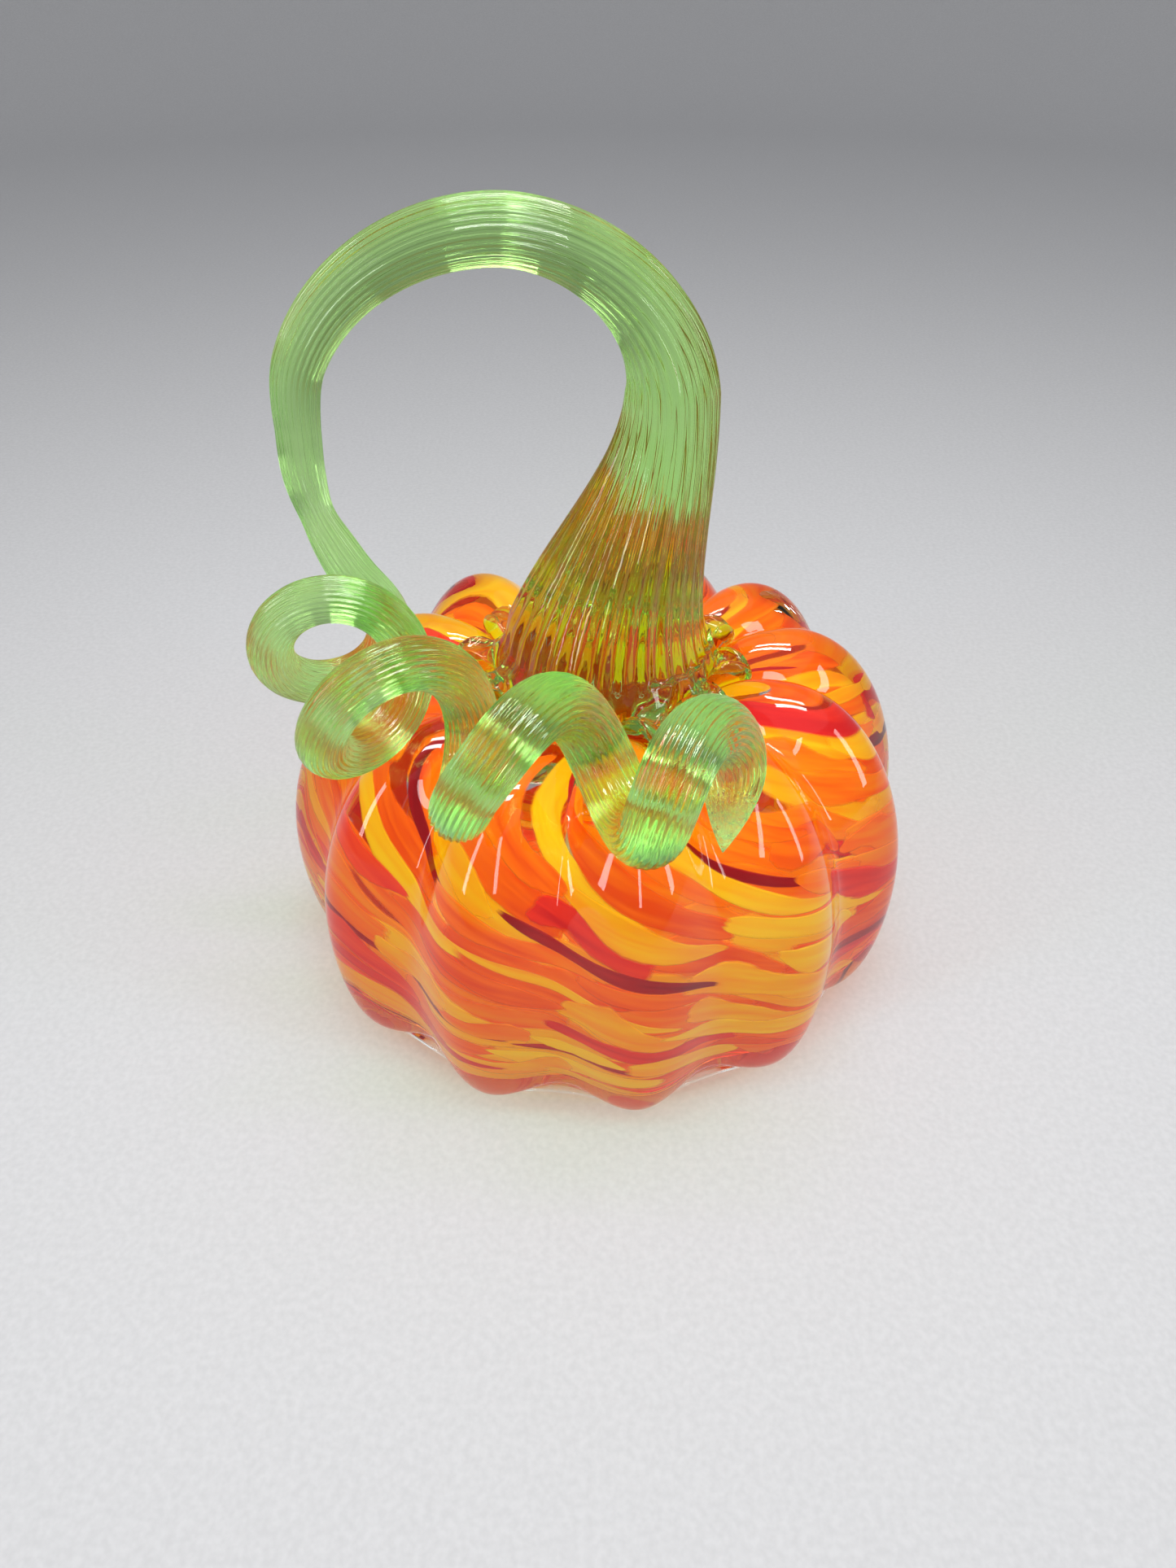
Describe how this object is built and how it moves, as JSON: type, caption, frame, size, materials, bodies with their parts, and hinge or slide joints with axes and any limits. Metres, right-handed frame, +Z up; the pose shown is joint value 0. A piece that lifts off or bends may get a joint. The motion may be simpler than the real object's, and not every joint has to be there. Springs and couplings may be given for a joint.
{
  "type": "glass pumpkin ornament",
  "caption": "Ribbed hand-blown glass pumpkin, coloured chips cased in clear glass, with a green glass stem that arches over and winds into a curled tendril. Stands on its rib ends.",
  "frame": {"origin": "bottom centre of the box round the whole object, on the table under the rib ends", "axes": "+Z up, -Y towards the side seen in the picture, +X to the right of the picture"},
  "size_m": [0.1458, 0.1522, 0.1728],
  "materials": {
    "clear_glass": "fire polished",
    "orange_glass": "cased in clear glass",
    "yellow_glass": "cased in clear glass",
    "red_glass": "cased in clear glass",
    "dark_red_glass": "cased in clear glass",
    "green_glass": "fire polished, optic ribs"
  },
  "bodies": {
    "root": {"inner_bubble": "clear_glass", "orange_chips": "orange_glass", "yellow_chips": "yellow_glass", "red_chips": "red_glass", "dark_red_chips": "dark_red_glass", "outer_casing": "clear_glass", "stem": "green_glass", "tendril": "green_glass"}
  },
  "joints": []
}
